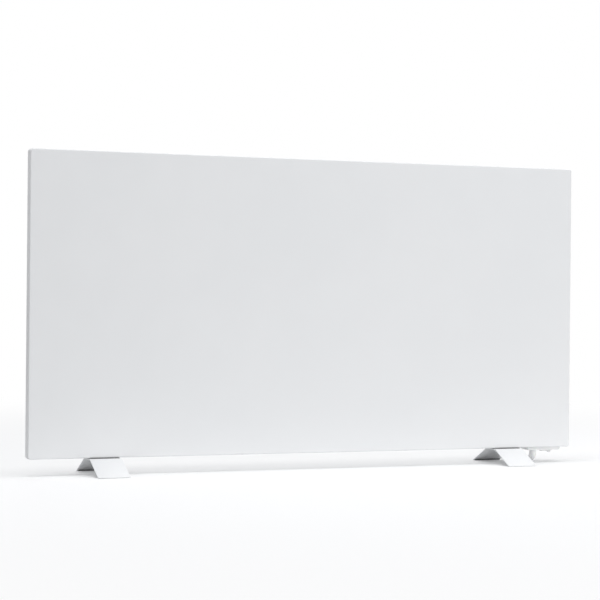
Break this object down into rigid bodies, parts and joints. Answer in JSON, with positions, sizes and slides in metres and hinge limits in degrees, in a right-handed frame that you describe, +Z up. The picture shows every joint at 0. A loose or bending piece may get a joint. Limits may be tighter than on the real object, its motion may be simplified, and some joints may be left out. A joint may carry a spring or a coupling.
{
  "type": "infrared panel heater",
  "caption": "Slim white infrared panel heater, a wide flat steel tray standing upright on low folded sheet feet, with a rear control box, rocker switch, push buttons and a mains cord.",
  "frame": {"origin": "on the floor, midway between the panel's two ends and between the feet's front and rear edges", "axes": "+X along the panel to the right as seen from the room, +Y from the heated front face towards the wall, +Z up"},
  "size_m": [1.2, 0.344, 0.638],
  "materials": {
    "white_enamel": "fine matt powder coat",
    "back_steel": "satin powder coat",
    "mica": "pressed mica board",
    "element": "carbon printed film",
    "foil": "bright foil",
    "wool": "mineral fibre board",
    "zinc": "zinc plated",
    "black_rubber": "matt",
    "white_plastic": "fine spark texture",
    "board": "green solder mask",
    "relay_case": "moulded",
    "black_case": "moulded",
    "capacitor_can": "sleeved can",
    "terminal": "moulded",
    "lead_wire": "silicone sleeve",
    "rocker_white": "moulded",
    "button_grey": "moulded",
    "lens": "light guide",
    "cord_white": "smooth PVC",
    "tie_black": "woven strap",
    "plug_white": "moulded",
    "brass_plated": "nickel plated"
  },
  "bodies": {
    "heater": {"back_cover": "back_steel", "board_screws": "zinc", "box_base": "white_plastic", "box_cover": "white_plastic", "box_fixing_nuts": "zinc", "box_fixing_screws": "zinc", "box_screws": "zinc", "capacitor": "capacitor_can", "circuit_board": "board", "coil_tie": "tie_black", "cord_coil": "cord_white", "cord_gland": "white_plastic", "cord_lead": "cord_white", "cord_tail": "cord_white", "cover_screws": "zinc", "element_block": "terminal", "element_leads": "lead_wire", "foot_glides": "black_rubber", "foot_nuts": "zinc", "foot_screws": "zinc", "foot_spacers": "black_rubber", "front_panel": "white_enamel", "gland_nut": "white_plastic", "heating_film": "element", "indicator_lens": "lens", "insulation_board": "wool", "lead_sleeve": "black_rubber", "left_foot": "white_enamel", "mica_front": "mica", "mica_rear": "mica", "plug_body": "plug_white", "plug_clips": "brass_plated", "plug_pins": "brass_plated", "power_supply": "black_case", "reflector_foil": "foil", "relay": "relay_case", "right_foot": "white_enamel", "side_board": "board", "supply_leads": "lead_wire", "switch_housing": "white_plastic", "switch_leads": "lead_wire", "tact_switches": "black_case", "terminal_block": "terminal", "thermal_cutout": "zinc", "wall_mount_nuts": "zinc"},
    "rocker": {"rocker": "rocker_white"},
    "button_low": {"button_low": "button_grey"},
    "button_mid": {"button_mid": "button_grey"},
    "button_high": {"button_high": "button_grey"}
  },
  "joints": [
    {"name": "power_rocker", "type": "hinge", "parent": "heater", "child": "rocker", "pos_m": [0.563, 0.029, 0.0266], "axis": [0, -1, 0], "range_deg": [0, 18]},
    {"name": "press_low", "type": "slide", "parent": "heater", "child": "button_low", "axis": [-1, 0, 0], "range_m": [0, 0.0007], "stiffness_N_per_m": 800, "springref_m": -0.0005},
    {"name": "press_mid", "type": "slide", "parent": "heater", "child": "button_mid", "axis": [-1, 0, 0], "range_m": [0, 0.0007], "stiffness_N_per_m": 800, "springref_m": -0.0005},
    {"name": "press_high", "type": "slide", "parent": "heater", "child": "button_high", "axis": [-1, 0, 0], "range_m": [0, 0.0007], "stiffness_N_per_m": 800, "springref_m": -0.0005}
  ]
}
